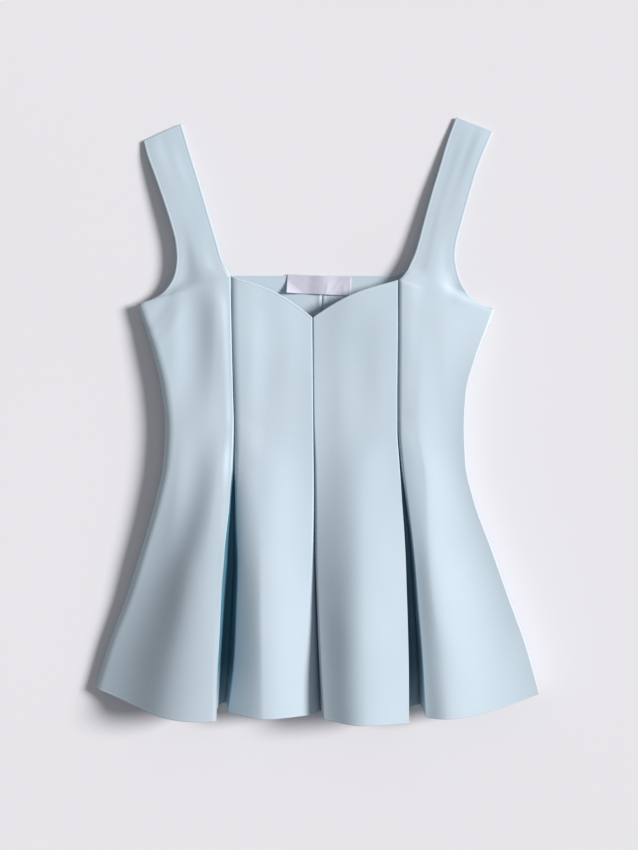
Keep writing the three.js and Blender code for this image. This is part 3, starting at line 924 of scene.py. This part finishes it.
left_centre_ridge = table(
    "y x z dip bow left right",
    (-306, -55, 36, 0.3, 0, 0.2, 0.3),
    (-240, -56, 35.6, 0.2, 0, 0.2, 0.3),
    (-180, -57, 33.6, 0.1, 0, 0.22, 0.3),
    (-120, -57, 30.6, 0.04, 0, 0.28, 0.3),
    (-60, -56, 26.6, 0, 0, 0.3, 0.4),
    (-13, -50, 22.9, 0, 0, 0.47, 0.47),
    (50, -46, 21.9, 0, 1.5, 0.47, 0.47),
    (124, -47, 18, 0, 6.9, 0.47, 0.47),
)
left_centre_creases = table(
    "x y angle length width bend height",
    (-48, 60, 84, 70, 22, 2, -0.5),
)

centre_left_rows = front_panel(
    left_princess_seam, centre_front_seam, left_centre_ridge, left_fold_inside, centre_fold_left,
    narrow_steps, narrow_steps, neck_edge=True,
)


def centre_front_seams(rows):
    """Tells which points of a centre front lie on a seam: both its sides."""
    last_column = len(rows[0]) - 1
    return lambda r, c: c in (0, last_column)


# Painted shade fills the inverted fold on its left, and a lighter share lies along the centre seam.
centre_front_left = shell(
    "left_centre_front", centre_left_rows, centre_front_seams(centre_left_rows),
    left_centre_creases, folds=(1, 0.4),
)
cloth_piece(centre_front_left, "centre_front_left")
stitches("left_centre_front_hem_stitches", hem_line("left_centre_front", centre_left_rows), 2)

# Right centre front, in the same crepe, cut and sewn as the left one. Towards the hem its edge
# stands above the centre seam, and its other side stands over the right inverted fold.
right_princess_seam = table(
    "y x z",
    (-306, 109.8, 2.4),
    (-248.4, 107, 3.8),
    (-194.9, 103, 7),
    (-141.6, 99, 11.5),
    (-88.7, 92.9, 16),
    (-46.6, 87.4, 19),
    (-15.2, 84.9, 20),
    (26.6, 84.8, 20),
    (78.9, 85.2, 19),
    (141.8, 85.7, 14.5),
)
right_fold_inside = table(
    "y round wall lean tilt under reach",
    (-306, 0.8, 43.5, 14, 0.16, 6, 0.4),
    (-248, 0.8, 40.5, 11.5, 0.16, 6, 0.4),
    (-195, 0.8, 32.5, 8.6, 0.16, 5, 0.4),
    (-142, 0.8, 23, 6.2, 0.14, 4, 0.4),
    (-89, 0.9, 13, 3.2, 0.1, 3, 0.4),
    (-40, 1.2, 5, 0.5, 0.06, 1, 0.4),
    (0, 1.3, 2.4, 0, 0.04, 0, 0.47),
)
centre_fold_right = table(
    "y round wall lean tilt under reach",
    (-308, 2, 22, 1, 0.34, 1, 0.42),
    (-268, 2, 19.5, 1, 0.34, 1, 0.42),
    (-205, 2, 12.5, 0.5, 0.34, 1, 0.42),
    (-142, 2.5, 7, 0, 0.3, 0, 0.4),
    (-60, 3, 2.4, 0, 0.08, 0, 0.47),
    (-10, 1.6, 1.4, 0, 0, 0, 0.47),
)
right_centre_ridge = table(
    "y x z dip bow left right",
    (-307, 48, 53, 0.22, 0, 0.4, 0.2),
    (-240, 47, 50.5, 0.17, 0, 0.4, 0.2),
    (-180, 46, 44, 0.1, 0, 0.35, 0.2),
    (-120, 45, 36.5, 0.04, 0, 0.3, 0.2),
    (-60, 43, 28.6, 0, 0, 0.35, 0.3),
    (-13, 40, 23.6, 0, 0, 0.47, 0.47),
    (50, 40, 22, 0, 1.5, 0.47, 0.47),
    (122, 41, 18.6, 0, 6, 0.47, 0.47),
)
right_centre_creases = table(
    "x y angle length width bend height",
    (44, 40, 95, 80, 24, -2, -0.4),
)

centre_right_rows = front_panel(
    centre_front_seam, right_princess_seam, right_centre_ridge, centre_fold_right,
    right_fold_inside, narrow_steps, narrow_steps, bow_from="right", neck_edge=True,
)
# Painted shade: only a thin line at the centre seam, and most of it in the inverted fold on the
# right.
centre_front_right = shell(
    "right_centre_front", centre_right_rows, centre_front_seams(centre_right_rows),
    right_centre_creases, folds=(0, 0.8),
)
cloth_piece(centre_front_right, "centre_front_right")
stitches("right_centre_front_hem_stitches", hem_line("right_centre_front", centre_right_rows), 3)

# Right side front, with its strap. Bonded crepe again, cut in one piece from the hem to the
# shoulder and sewn as the left one. Its side stands up straight over the side seam.
right_side_seam = table(
    "y x z",
    (-286.8, 233.1, 12),
    (-240.3, 219.8, 12.5),
    (-189.8, 201.3, 13),
    (-139.3, 183.3, 13),
    (-88.8, 165, 12.6),
    (-51, 156.6, 12.4),
    (-13.2, 155.1, 12.2),
    (24.7, 157.3, 12),
    (62.6, 167.8, 11.4),
    (90, 179, 10.2),
    (112, 188, 9),
)
right_armhole = table(
    "y x z",
    (112, 188, 9),
    (114.2, 180.5, 9.4),
    (119.1, 170, 10),
    (127.8, 159.5, 10.6),
    (139.4, 152, 11),
    (155.6, 147.1, 11),
    (168.2, 145.5, 10.6),
    (182.9, 147.3, 10),
    (202.9, 152.6, 9.2),
    (232.6, 161, 8),
    (262.7, 170.2, 6.6),
    (285.6, 179.5, 4.8),
    (301.5, 186.5, 2.7),
)
right_strap_inside = table(
    "y x z",
    (141.8, 85.7, 14.5),
    (150.8, 93.6, 13.6),
    (159.7, 99, 12.6),
    (173.1, 104.8, 11.4),
    (202.8, 113, 9.4),
    (232.5, 121.2, 8),
    (262.8, 130.4, 6.2),
    (293.2, 139.6, 4),
    (316.3, 148.2, 2.7),
)
right_fold_outside = table(
    "y round wall lean tilt under reach",
    (-306, 1.6, 28, 2.2, 0.26, 2, 0.3),
    (-248, 1.6, 27, 1.6, 0.26, 2, 0.3),
    (-195, 1.6, 22, 1.4, 0.28, 2, 0.3),
    (-142, 1.6, 15.5, 1, 0.28, 2, 0.3),
    (-89, 2, 9.4, 0.6, 0.26, 1, 0.3),
    (-40, 3.5, 4.6, 0.1, 0.15, 0, 0.4),
    (0, 5, 3, 0, 0.06, 0, 0.47),
)
right_side_ridge = table(
    "y x z dip bow left right",
    (-296, 136, 36.4, 0.26, -7, 0.4, 0.2),
    (-240, 131, 36, 0.18, -4, 0.4, 0.2),
    (-180, 121, 33.4, 0.1, -1, 0.3, 0.2),
    (-120, 115, 29.6, 0.04, 0, 0.3, 0.15),
    (-60, 112, 26.4, 0, 0, 0.3, 0.15),
    (-13, 104, 24.1, 0, 0, 0.4, 0.2),
    (50, 106, 22.9, 0, 0, 0.47, 0.3),
    (100, 110, 20.2, 0, 0, 0.47, 0.4),
    (127, 118, 16.3, 0, 0, 0.47, 0.47),
    (168, 124, 12.2, 0, 0, 0.47, 0.47),
    (212, 133, 9.4, 0, 0, 0.47, 0.47),
    (260, 149, 6.9, 0, 0, 0.47, 0.47),
    (309, 167, 2.9, 0, 0, 0.47, 0.47),
)
right_strap_pairs = table(
    "y outside inside",
    (0, 112, 141.8),
    (0.15, 117, 147),
    (0.35, 136, 157),
    (0.5, 163, 177),
    (0.66, 210, 220),
    (0.84, 257, 270),
    (1, 301.5, 316.3),
)
right_side_turn = table(
    "y round wall lean tilt under reach",
    (-286.8, 1, 12, 0, 0, 0, 0.45),
    (-240, 1, 11.5, 0, -0.02, 0, 0.45),
    (-190, 1, 10.5, 0, -0.05, 0, 0.45),
    (-139, 1, 8.6, 0, -0.06, 0, 0.45),
    (-60, 1, 7.6, 0, -0.06, 0, 0.45),
    (-13, 1, 7.2, 0, -0.03, 0, 0.45),
    (50, 1, 6.4, 0, 0, 0, 0.4),
    (112, 3, 2, 0, 0.12, 0, 0.4),
)
right_side_creases = table(
    "x y angle length width bend height",
    (146, 138, 70, 26, 12, 2, -0.8),
    (118, 60, 92, 80, 18, -2, -0.5),
)

side_right_rows = front_panel(
    right_princess_seam, right_side_seam, right_side_ridge, right_fold_outside, right_side_turn,
    narrow_steps, wide_steps, side_seam="right",
)
side_right_body = len(side_right_rows)
side_right_rows += front_strap(
    right_armhole, right_strap_inside, right_strap_pairs, right_side_ridge, right_side_turn,
    "right",
)
# Painted shade fills most of the inverted fold on its left; its outer side gets none.
side_front_right = shell(
    "right_side_front", side_right_rows, side_front_seams(side_right_rows, side_right_body),
    right_side_creases, folds=(0.8, None),
)
cloth_piece(side_front_right, "side_front_right")
stitches("right_side_front_hem_stitches", hem_line("right_side_front", side_right_rows), 4)

# The two halves of the back, with their straps. They lie face down on the floor and curl up to
# the side seams. The centre back seam's allowances stand up inside as a thin ridge.
centre_back_seam = table("y x", (-303, 2), (-20, 3), (148, 6.5))
left_back_guide = table(
    "y x",
    (-299, -98),
    (-20, -86),
    (148, -89),
    (150.5, -98),
    (158, -106),
    (175, -110.5),
    (208.6, -117.5),
    (244.5, -128),
    (279.5, -139),
    (308, -147.5),
)
right_back_guide = table(
    "y x",
    (-299, 108),
    (-20, 84),
    (148, 82),
    (152.4, 95.6),
    (160, 104),
    (175, 109.5),
    (203, 117),
    (232.5, 125.4),
    (262.8, 134.5),
    (293.2, 144),
    (314, 152),
)
left_back_armhole = table(
    "y x z",
    (117.1, -188.4, 9),
    (122.1, -173.6, 6),
    (129.3, -161.4, 3.6),
    (139.5, -152.4, 1.6),
    (151.1, -147.6, 0.4),
    (165.1, -146, 0),
    (198.7, -151.4, 0),
    (255.2, -170.2, 0),
    (291, -182.6, 0),
)
right_back_armhole = table(
    "y x z",
    (112, 188, 9),
    (119.1, 169.4, 5.4),
    (127.8, 158.9, 3),
    (139.4, 151.4, 1.2),
    (155.6, 146.6, 0.2),
    (168.2, 145, 0),
    (202.9, 152, 0),
    (262.7, 169.4, 0),
    (301, 186, 0),
)
back_side_turn = {"round": 6, "wall": -3, "lean": 0, "tilt": -0.12, "under": 0, "reach": 0.47}
back_free_edge = {"round": 6, "wall": 0, "lean": 0, "tilt": 0, "under": 0, "reach": 0.47}
flat_crest = {"z": 0, "left": 0.47, "right": 0.47}
back_rise = 52
least_lead = 12
near_rise = 0.6
back_edge_change = 22
seam_end = 4
back_neck_height = 148
centre_steps = 24
lead_steps = 10
seam_ridge_height = 1.5
seam_ridge_width = 2.2
left_back_creases = table(
    "x y angle length width bend height",
    (-148, -170, 70, 80, 16, 6, 1.2),
    (-128, -30, 80, 60, 12, -4, 0.9),
    (-60, -210, 96, 70, 14, 3, 0.8),
    (-120, 90, 55, 34, 9, 3, 0.7),
)
right_back_creases = table(
    "x y angle length width bend height",
    (152, -150, 112, 74, 15, -5, 1.1),
    (126, -10, 98, 66, 13, 4, 0.8),
    (66, -190, 84, 82, 16, -3, 0.9),
    (124, 84, 124, 30, 8, -3, 0.6),
)


def back_panel(guide, side_seam, armhole, pairs, way):
    """Sections of half the back, from its centre seam out to the side seam or the armhole."""
    half = seam_gap / 2

    def outwards(seam, guide_point, turn):
        guide_x = guide_point["x"]
        far = abs(seam["x"] - guide_x) > back_rise + least_lead
        start = seam["x"] - back_rise * way if far else between(guide_x, seam["x"], near_rise)
        lead = [Vector((between(guide_x, start, i / lead_steps), 0)) for i in range(lead_steps)]
        crest = {**flat_crest, "x": start}
        points = []
        for p in lead + half_section(crest, seam, turn, narrow_steps):
            across = (p.x - guide_x) / (seam["x"] - guide_x)
            points.append(Vector((p.x, between(guide_point["y"], seam["y"], across), p.y)))
        return points

    body = []
    length = side_seam[-1]["y"] - side_seam[0]["y"]
    for up in spaced(length, row_pitch, True, True):
        centre_y = between(centre_back_seam[0]["y"], centre_back_seam[-1]["y"], up)
        guide_y = between(guide[0]["y"], back_neck_height, up)
        side_y = between(side_seam[0]["y"], side_seam[-1]["y"], up)
        centre = Vector((read(centre_back_seam, centre_y)["x"] + way * half, centre_y, 0))
        guide_point = {"x": read(guide, guide_y)["x"], "y": guide_y}
        seam = shifted(read(side_seam, side_y), 0, -half)
        to_guide = Vector((guide_point["x"], guide_y, 0))
        inside = [centre.lerp(to_guide, i / centre_steps) for i in range(centre_steps)]
        body.append(inside + outwards(seam, guide_point, back_side_turn))

    underarm = armhole[0]["y"]
    edge_turn = turn_into(back_side_turn, back_free_edge, underarm, underarm + back_edge_change)
    strap = []
    strap_length = armhole[-1]["y"] - underarm
    inside_from, inside_to = pairs[0]["inside"], pairs[-1]["inside"]
    for up in spaced(strap_length, row_pitch, False, True)[1:]:
        pair = read(pairs, up)
        outer = read(armhole, min(pair["outside"], armhole[-1]["y"]))
        near_seam = 1 - held_between((pair["outside"] - underarm) / seam_end, 0, 1)
        seam = shifted(outer, 0, -half * near_seam)
        seam["z"] = max(seam["z"], 0)
        guide_up = (pair["inside"] - inside_from) / (inside_to - inside_from)
        guide_y = between(back_neck_height, guide[-1]["y"], guide_up)
        guide_point = {"x": read(guide, guide_y)["x"], "y": guide_y}
        turn = read(edge_turn, pair["outside"])
        strap.append([None] * centre_steps + outwards(seam, guide_point, turn))
    rows = body + strap
    return (rows if way < 0 else [row[::-1] for row in rows]), len(body)


def back_seams(rows, body, way):
    """Tells which points of a half back lie on a seam: its centre, its side and its strap's end."""
    last_row, last_column = len(rows) - 1, len(rows[0]) - 1
    centre_column = 0 if way < 0 else last_column
    side_column = last_column - centre_column
    return lambda r, c: r == last_row or c == centre_column or (r < body and c == side_column)


def seam_ridge(p):
    """How much higher the inside stands beside the centre back seam."""
    from_seam = abs(p.x - read(centre_back_seam, p.y)["x"])
    return seam_ridge_height * soft_bump(from_seam / seam_ridge_width) if p.z == 0 else 0


left_back_rows, left_back_body = back_panel(
    left_back_guide, left_side_seam, left_back_armhole, left_strap_pairs, -1,
)
back_left = shell(
    "left_back", left_back_rows, back_seams(left_back_rows, left_back_body, -1),
    left_back_creases, inside_ridge=seam_ridge,
)
cloth_piece(back_left, "back_left")

right_back_rows, right_back_body = back_panel(
    right_back_guide, right_side_seam, right_back_armhole, right_strap_pairs, 1,
)
back_right = shell(
    "right_back", right_back_rows, back_seams(right_back_rows, right_back_body, 1),
    right_back_creases, inside_ridge=seam_ridge,
)
cloth_piece(back_right, "back_right")

# The blank woven label, satin with a plain face. It lies inside the back with its top edge sewn
# along the neck edge. Its lower corner curls up and its middle is a little wrinkled.
label_width = 68
label_height = 20
label_thickness = 0.45
label_turn = math.radians(-2.6)
label_middle = (2.4, 138.4)
label_floor = 1.35
label_pitch = 0.8
label_white = (0.60, 0.60, 0.70, 1)
label_grey = (0.56, 0.56, 0.665, 1)
curl_reach = 15
curl_height = 5.5
curl_slant = 0.75
curl_power = 1.6
label_fall = 0.6
label_over_seam = 1.6
label_seam_place = 4
label_seam_reach = 17
label_stitch_margin = 2.5
label_stitch_depth = 1.8
label_stitch_points = 60
label_creases = table(
    "x y angle length width bend height",
    (9, -3, 78, 9, 3, 0.5, 0.35),
    (20, 1, 60, 10, 3, -1, 0.3),
    (-12, 0, 12, 22, 5, 1, 0.4),
    (27, -4, 95, 9, 3.5, 0, 0.25),
)


def label_lift(x, y):
    """How far the label stands off the cloth, measured from its own middle."""
    down = held_between((label_height / 2 - y) / label_height, 0, 1)
    corner = (x + label_width / 2) * curl_slant + (y + label_height / 2)
    curl = curl_height * held_between(1 - corner / curl_reach, 0, 1) ** curl_power
    over_seam = label_over_seam * soft_bump((x - label_seam_place) / label_seam_reach)
    wrinkle = crease_height(label_creases, x, y) * math.sqrt(down)
    return wrinkle + label_fall * down + over_seam + curl


def on_label(flat, level):
    """A point of the flat label in its place on the cloth, at a level in its thickness."""
    spot = Matrix.Rotation(label_turn, 2) @ flat + Vector(label_middle)
    return Vector((spot.x, spot.y, label_floor + level + label_lift(flat.x, flat.y)))


def label_mesh():
    """The label as a thin closed sheet."""
    columns = round(label_width / label_pitch)
    lines = round(label_height / label_pitch)
    vertices, faces = [], []
    for level in (label_thickness, 0):
        for j in range(lines + 1):
            for i in range(columns + 1):
                flat = Vector((
                    between(-label_width / 2, label_width / 2, i / columns),
                    between(-label_height / 2, label_height / 2, j / lines),
                ))
                vertices.append(on_label(flat, level) * metre)
    wide = columns + 1
    below = wide * (lines + 1)
    for j in range(lines):
        for i in range(columns):
            a = j * wide + i
            faces.append((a, a + 1, a + 1 + wide, a + wide))
            faces.append((a + below, a + wide + below, a + 1 + wide + below, a + 1 + below))
    ring = list(range(columns))
    ring += [j * wide + columns for j in range(lines)]
    ring += [lines * wide + i for i in range(columns, 0, -1)]
    ring += [j * wide for j in range(lines, 0, -1)]
    for k, a in enumerate(ring):
        b = ring[(k + 1) % len(ring)]
        faces.append((b, a, a + below, b + below))
    mesh = bpy.data.meshes.new("neck_label")
    mesh.from_pydata(vertices, [], faces)
    for polygon in mesh.polygons:
        polygon.use_smooth = True
    return mesh


def woven_satin():
    """Label satin: fine ribs across the label, with a faint shine."""
    material, tree, shader = new_material("woven_satin")
    place = add_node(tree, "ShaderNodeTexCoord").outputs["Object"]
    drift = noise_between(tree, place, 120, 2, 0, 1)
    ribs = add_node(tree, "ShaderNodeTexWave", {
        "Vector": place, "Scale": 500, "Distortion": 0.4}, bands_direction="Y")
    set_inputs(tree, shader, {
        "Base Color": mixed(tree, drift, label_white, label_grey), "Roughness": 0.5,
        "Sheen Weight": 0.1, "Normal": relief(tree, ribs.outputs["Fac"], 0.3, 0.00008)})
    return material


neck_label = bpy.data.objects.new("blank_label", label_mesh())
neck_label.data.materials.append(woven_satin())
scene.collection.objects.link(neck_label)
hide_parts("neck_label")
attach(neck_label, "root")
stitch_reach = label_width / 2 - label_stitch_margin
label_line = []
for i in range(label_stitch_points + 1):
    across = between(-stitch_reach, stitch_reach, i / label_stitch_points)
    flat = Vector((across, label_height / 2 - label_stitch_depth))
    label_line.append(on_label(flat, label_thickness))
stitches("label_stitches", label_line, 5)
